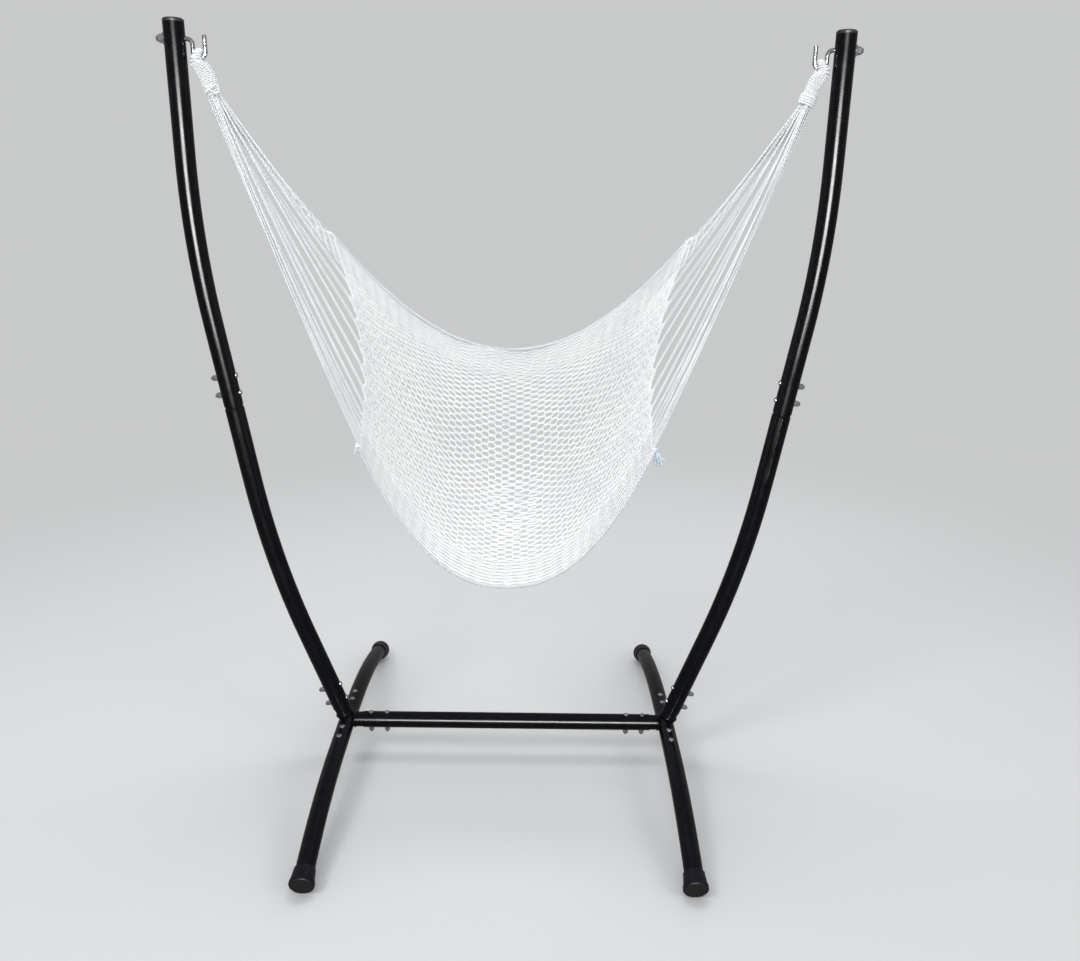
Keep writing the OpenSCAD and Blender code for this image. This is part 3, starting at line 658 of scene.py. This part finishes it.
# ---------------------------------------------------------------- loops over the hooks, and knots

LOOP_TURN_R = 0.0129
# Wrapping cord of a loop, and whipping round the bundle under it: radius, and pitch of its turns
WRAP_R, WRAP_PITCH = 0.0021, 0.0043
WHIPPING_R, WHIPPING_PITCH = 0.0028, 0.0057
# How far the core, tinted dark as painted shade, and the wrapping's middle lie inside the loop's
# outline
CORE_INSET, WRAP_INSET = 0.0022, 0.0018
# Half the whipping's length, and half widths and thicknesses of its middle line and of its core
WHIPPING_HALF_L = 0.0115
WHIPPING_W, WHIPPING_T = 0.0152, 0.0126
PLUG_W, PLUG_T = 0.0140, 0.0114


def loop_line(out):
    """Centre of a loop on the right side from inside the knot, up the front, over the hook and down
    the back, with its half width and half thickness. Beside the hook it lies `out` further out,
    and over it the loop is narrow enough to swing clear of the hook's two sides."""
    low = KNOT - KNOT_AXIS * 0.002
    top = np.array([SWING_X, 0.0, SWING_Z])
    front = [low + (0, -0.0045, 0), KNOT + KNOT_AXIS * 0.014 + (0, -0.0078, 0),
             (KNOT + top) / 2 + (0.0035, -0.0116, 0.004),
             top + (0.0045 + out, -LOOP_TURN_R - 0.0006, -0.011)]
    over = [top + (0.0003 + (0.001 + out / 2) * math.cos(a) ** 18, -LOOP_TURN_R * math.cos(a),
                   LOOP_TURN_R * math.sin(a)) for a in np.radians(np.arange(0, 181, 30))]
    back = [p * np.array([1, -1, 1]) for p in front[::-1]]
    knots = np.array([*front, *over, *back])
    wide = [0.0150, 0.0168, 0.0168, 0.0150, 0.0110, 0.0080, 0.0078, 0.0078]
    thick = [0.0052, 0.0060, 0.0066, 0.0067, 0.0068, 0.0068, 0.0068, 0.0068]
    wide, thick = wide + wide[-2::-1], thick + thick[-2::-1]
    line = smooth(knots, 12)
    at = np.linspace(0, len(knots) - 1, len(line))
    return line, np.interp(at, range(len(knots)), wide), np.interp(at, range(len(knots)), thick)


def bundle_frame(line):
    """The line's direction at each point, the one across it nearest to X, and the third."""
    along = unit(np.gradient(line, axis=0))
    side = unit(np.array([1.0, 0, 0]) - along * along[:, :1])
    return along, side, np.cross(side, along)


def helix(line, wide, thick, pitch, per_turn):
    """A wrapping line round an oval bundle, and the bundle's direction at each point."""
    length = run(line)
    n = int(length[-1] / pitch * per_turn)
    at = np.linspace(0, length[-1], n)
    centre = np.stack([np.interp(at, length, line[:, i]) for i in range(3)], 1)
    along, side, up = bundle_frame(centre)
    angle = 2 * np.pi * at / pitch
    wide, thick = np.interp(at, length, wide), np.interp(at, length, thick)
    points = (centre + (wide * np.cos(angle))[:, None] * side
              + (thick * np.sin(angle))[:, None] * up)
    return points, along


def build_loops():
    """On each side: the loop's core, tinted dark as painted shade between the wrapping's turns, and
    its wrapping, and the whipping under it, which has two cross turns on the left, round a core of
    its own, tinted dark the same way."""
    for sign, side, out, girth in ((-1, "left", 0.001, 0.93), (1, "right", 0.0024, 1.14)):
        line, wide, thick = loop_line(out)
        centre = mirrored(line, sign)
        wide = wide * np.interp(line[:, 2], [1.77, 1.79, 1.815], [2 - girth, 2 - girth, 1.0])
        # The core's dark tint is painted shade, seen between the wrapping's turns
        core = Tubes(20)
        core.add(centre, wide - CORE_INSET, bundle_frame(centre)[2], flat=thick - CORE_INSET)
        core.build(f"{side}_loop_core", CORE_SHADE_CORD)
        turns, direction = helix(line, wide - WRAP_INSET, thick - WRAP_INSET, WRAP_PITCH, 20)
        wobble = 1 + 0.05 * np.sin(np.arange(len(turns)) * 0.61)
        tubes = Tubes(7)
        tubes.add(mirrored(turns, sign), WRAP_R * wobble, mirrored(direction, sign))
        tubes.build(f"{side}_loop_wrap", WRAP_CORD, stands_for=[f"{side}_end_loop"])
        axis = np.linspace(-1, 1, 40)[:, None] * WHIPPING_HALF_L * KNOT_AXIS + KNOT
        swell = 1 + 0.06 * np.sin(np.linspace(0, np.pi, 40)) + 0.03 * np.sin(np.arange(40) * 0.7)
        turns, direction = helix(axis, WHIPPING_W * girth * swell, WHIPPING_T * girth * swell,
                                 WHIPPING_PITCH, 30)
        whipping = Tubes(8)
        whipping.add(mirrored(turns, sign), WHIPPING_R, mirrored(direction, sign))
        if side == "left":
            for k in (-1, 1):
                cross = smooth(KNOT + np.array([
                    [-0.014, -0.0112, 0.011 * k], [-0.005, -0.0168, 0.004 * k],
                    [0.004, -0.0170, -0.003 * k], [0.014, -0.0112, -0.010 * k]]), 8)
                whipping.add(mirrored(cross, sign), WRAP_R, (0, 1, 0))
        whipping.build(f"{side}_whipping", WRAP_CORD,
                       stands_for=[f"{side}_wrapped_knot"])
        # The knot's core, in the same painted-shade colour
        plug = Tubes(20)
        plug.add(mirrored(axis, sign), PLUG_W * girth, (0, 1, 0), flat=PLUG_T * girth)
        plug.build(f"{side}_knot_core", CORE_SHADE_CORD)


build_loops()


TIE_SIZE, TIE_R, TIE_NECK_R = 0.0070, 0.0023, 0.0030


def overhand(centre, size, turn):
    """A closed three-lobed knot."""
    t = np.linspace(0, 2 * np.pi, 60)
    shape = np.stack([np.sin(t) + 2 * np.sin(2 * t), np.cos(t) - 2 * np.cos(2 * t),
                      -1.3 * np.sin(3 * t)], 1) * size / 3
    c, s = math.cos(turn), math.sin(turn)
    return centre + shape @ np.array([[c, 0, s], [0, 1, 0], [-s, 0, c]])


def build_corner_tie(name, sign, v, tail, ends, stands_for=()):
    """A knot outside the net's corner, with that many frayed ends hanging from it."""
    tubes = Tubes(7)
    corner = net_point(sign, v)
    away = unit(corner - net_point(sign * 0.98, v))
    centre = corner + away * (EDGE_D - 0.001) + np.array([sign * 0.001, 0, -0.003])
    tubes.add(overhand(centre, TIE_SIZE, 0.6 * sign), TIE_R, (0.3, 0.5, 0.8))
    tubes.add(smooth([corner - away * 0.012, corner + away * 0.004, centre], 8), TIE_NECK_R,
              (0, 1, 0.4))
    for _ in range(ends):
        drop = rng.uniform(0.6, 1.0) * tail
        reach = unit(np.array([sign * 0.35, -0.1, -1.0]) + rng.normal(0, 0.24, 3))
        points = [centre, centre + reach * drop * 0.4 + np.array([sign * 0.002, 0, 0]),
                  centre + reach * drop * 0.8, centre + reach * drop]
        tubes.add(smooth(points, 5), np.linspace(0.0017, 0.0009, 16), (0, 1, 0))
    tubes.build(f"{name}_corner_tie", TUFT_CORD if ends > 10 else FAN_CORD,
                stands_for=stands_for)


build_corner_tie("rear_left", -1, 0.0, 0.012, 7, ["rear_corner_knots"])
build_corner_tie("rear_right", 1, 0.0, 0.012, 7)
build_corner_tie("front_left", -1, 1.0, 0.020, 8, ["front_corner_knots"])
build_corner_tie("front_right", 1, 1.0, 0.048, 26)


# ---------------------------------------------------------------- floor and light

BACKDROP = (0.58, 0.585, 0.59)
FLOOR_HALF = 60.0
# Strength of the surroundings for what the camera sees, for reflections and for soft light
SEEN, REFLECTED, SOFT = 1.0, 0.45, 1.45


def build_stage():
    """A plain pale floor that fades into the backdrop, so that no horizon shows, and is dim in
    reflections so that black paint stays black."""
    mesh = bpy.data.meshes.new("floor")
    corners = [(x * FLOOR_HALF, y * FLOOR_HALF, 0) for x, y in ((-1, -1), (1, -1), (1, 1), (-1, 1))]
    mesh.from_pydata(corners, [], [(0, 1, 2, 3)])
    floor = bpy.data.objects.new("floor", mesh)
    floor.location.z = -0.0003
    bpy.context.scene.collection.objects.link(floor)
    s = Shader("pale_floor", (0.53, 0.535, 0.54), 0.9, Specular_IOR_Level=0.0)
    far = s.add("VectorMath", Vector=s.coordinates)
    far.operation = "LENGTH"
    fade = s.add("MapRange", Value=far.outputs["Value"], From_Min=1.2, From_Max=4.5)
    fade.interpolation_type = "SMOOTHERSTEP"
    glow = s.add("Emission", Color=(*BACKDROP, 1.0), Strength=1.0)
    blend = s.nodes.new("ShaderNodeMixShader")
    output = next(n for n in s.nodes if n.type == "OUTPUT_MATERIAL")
    s.links.new(fade.outputs["Result"], blend.inputs[0])
    s.links.new(s.bsdf.outputs[0], blend.inputs[1])
    s.links.new(glow.outputs[0], blend.inputs[2])
    ray = s.nodes.new("ShaderNodeLightPath")
    dim = s.math("MULTIPLY", ray.outputs["Is Glossy Ray"], 0.7)
    dark = s.add("Emission", Color=(0.0, 0.0, 0.0, 1.0), Strength=0.0)
    final = s.nodes.new("ShaderNodeMixShader")
    s.links.new(dim, final.inputs[0])
    s.links.new(blend.outputs[0], final.inputs[1])
    s.links.new(dark.outputs[0], final.inputs[2])
    s.links.new(final.outputs[0], output.inputs["Surface"])
    mesh.materials.append(s.material)


def build_world():
    """Even soft light, dimmer in reflections so that black paint stays black."""
    world = bpy.data.worlds.new("studio")
    bpy.context.scene.world = world
    world.use_nodes = True
    tree = world.node_tree
    background = tree.nodes["Background"]
    background.inputs["Color"].default_value = (*BACKDROP, 1.0)
    ray = tree.nodes.new("ShaderNodeLightPath")
    strength = None
    for output, value in (("Is Camera Ray", SEEN), ("Is Glossy Ray", REFLECTED),
                          ("Is Diffuse Ray", SOFT)):
        node = tree.nodes.new("ShaderNodeMath")
        node.operation = "MULTIPLY_ADD"
        tree.links.new(ray.outputs[output], node.inputs[0])
        node.inputs[1].default_value = value
        node.inputs[2].default_value = 0.0
        if strength:
            tree.links.new(strength, node.inputs[2])
        strength = node.outputs[0]
    tree.links.new(strength, background.inputs["Strength"])


def area_light(name, place, target, width, height, power, gloss=True, diffuse=True):
    """A softbox that looks at its target; gloss or diffuse is False where it doesn't light that."""
    data = bpy.data.lights.new(name, "AREA")
    data.shape, data.size, data.size_y = "RECTANGLE", width, height
    data.energy = power
    lamp = bpy.data.objects.new(name, data)
    bpy.context.scene.collection.objects.link(lamp)
    lamp.location = place
    lamp.rotation_euler = (Vector(target) - Vector(place)).to_track_quat("-Z", "Y").to_euler()
    lamp.visible_camera = False
    lamp.visible_glossy, lamp.visible_diffuse = gloss, diffuse


build_stage()
build_world()
area_light("key", (-2.2, -2.6, 3.8), (0, 0, 1.0), 1.4, 1.4, 80, gloss=False)
area_light("fill", (2.8, -2.4, 2.4), (0, 0, 1.0), 1.4, 1.4, 25, gloss=False)
area_light("top", (0.0, 0.9, 4.2), (0, 0, 0.8), 2.4, 1.2, 45, gloss=False)
area_light("back_fill", (1.8, 3.4, 2.8), (0, 0, 0.9), 1.4, 1.4, 18, gloss=False)
area_light("front_window", (0.1, -4.6, 1.6), (0.1, 0, 1.6), 2.5, 1.0, 480, diffuse=False)

bpy.context.scene.view_settings.view_transform = "Standard"
